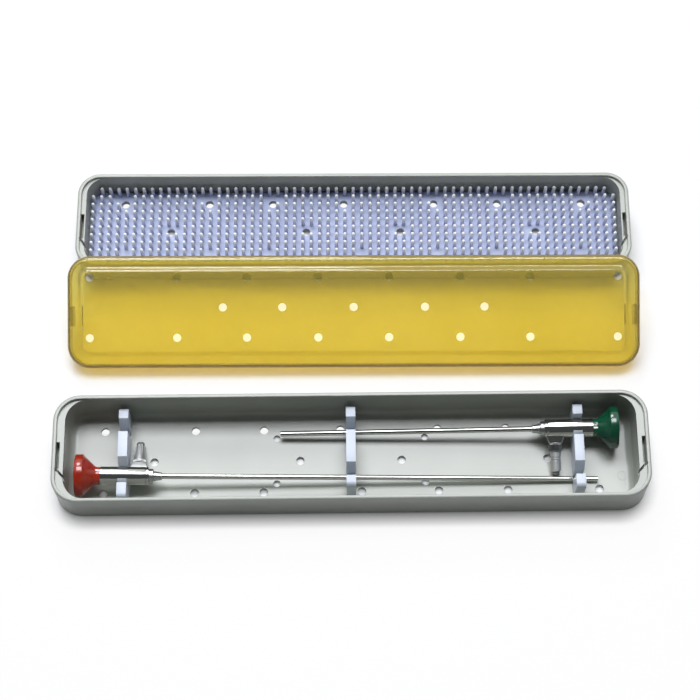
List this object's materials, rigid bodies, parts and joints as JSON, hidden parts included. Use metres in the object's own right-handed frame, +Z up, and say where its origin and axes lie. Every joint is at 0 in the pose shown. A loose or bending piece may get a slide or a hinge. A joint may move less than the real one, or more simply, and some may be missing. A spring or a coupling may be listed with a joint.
{
  "type": "scope tray",
  "caption": "Open sterilisation tray set: base tray with two rigid scopes in notched brackets, insert tray with finger mat, and a clear amber lid leaning on the insert",
  "frame": {"origin": "middle of the base tray's underside, on the table", "axes": "+X along the trays to the right, +Y away from the viewer, +Z up"},
  "size_m": [0.4384, 0.2687, 0.0448],
  "materials": {
    "tray_plastic": "light grey moulded polymer, fine satin",
    "bracket_plastic": "bluish white silicone-like polymer, satin",
    "mat_silicone": "translucent bluish silicone, soft sheen",
    "lid_amber": "clear amber polymer, glossy",
    "cup_red": "red anodised look, glossy",
    "cup_green": "deep green, glossy",
    "polished_steel": "polished stainless steel",
    "satin_steel": "satin stainless steel",
    "knurled_steel": "finely knurled stainless steel",
    "lens_glass": "dark coated optical glass",
    "nub_white": "white enamel"
  },
  "bodies": {
    "tray": {"base_tray": "tray_plastic", "left_bracket": "bracket_plastic", "middle_bracket": "bracket_plastic", "right_bracket": "bracket_plastic", "bracket_studs": "bracket_plastic"},
    "red_scope": {"red_eyecup": "cup_red", "red_window": "lens_glass", "red_index_nub": "nub_white", "red_body": "polished_steel", "red_light_block": "polished_steel", "red_light_guide": "polished_steel", "red_light_ring": "knurled_steel", "red_collar": "satin_steel", "red_ferrule": "satin_steel", "red_shaft": "polished_steel", "red_tip_lens": "lens_glass"},
    "red_post_adapter": {"red_adapter": "polished_steel"},
    "green_scope": {"green_eyecup": "cup_green", "green_window": "lens_glass", "green_index_nub": "nub_white", "green_body": "polished_steel", "green_light_block": "polished_steel", "green_light_guide": "polished_steel", "green_light_ring": "knurled_steel", "green_collar": "satin_steel", "green_ferrule": "satin_steel", "green_shaft": "polished_steel", "green_tip_lens": "lens_glass"},
    "green_post_adapter": {"green_adapter": "polished_steel"},
    "insert": {"insert_tray": "tray_plastic", "finger_mat": "mat_silicone"},
    "cover": {"lid": "lid_amber"},
    "left_snap": {"left_latch": "lid_amber"},
    "right_snap": {"right_latch": "lid_amber"}
  },
  "joints": [
    {"name": "red_scope_lift", "type": "slide", "parent": "tray", "child": "red_scope", "axis": [0, 0, 1], "range_m": [0, 0.06]},
    {"name": "green_scope_lift", "type": "slide", "parent": "tray", "child": "green_scope", "axis": [0, 0, 1], "range_m": [0, 0.06]},
    {"name": "red_adapter_turn", "type": "hinge", "parent": "red_scope", "child": "red_post_adapter", "pos_m": [-0.15663, -0.01548, 0.01771], "axis": [-0.008, 0.9281, -0.3723], "continuous": true},
    {"name": "green_adapter_turn", "type": "hinge", "parent": "green_scope", "child": "green_post_adapter", "pos_m": [0.15173, 0.01815, 0.01771], "axis": [0.0093, -0.9413, -0.3374], "continuous": true},
    {"name": "insert_lift", "type": "slide", "parent": "tray", "child": "insert", "axis": [0, 0, 1], "range_m": [0, 0.08]},
    {"name": "lid_lift", "type": "slide", "parent": "insert", "child": "cover", "axis": [0, 0, 1], "range_m": [0, 0.08]},
    {"name": "left_latch_flex", "type": "hinge", "parent": "cover", "child": "left_snap", "pos_m": [-0.21012, 0.10924, 0.02649], "axis": [-0.0073, -0.9252, -0.3794], "range_deg": [0, 5], "stiffness_Nm_per_rad": 0.5},
    {"name": "right_latch_flex", "type": "hinge", "parent": "cover", "child": "right_snap", "pos_m": [0.21647, 0.10589, 0.02649], "axis": [0.0073, 0.9252, 0.3794], "range_deg": [0, 5], "stiffness_Nm_per_rad": 0.5}
  ]
}
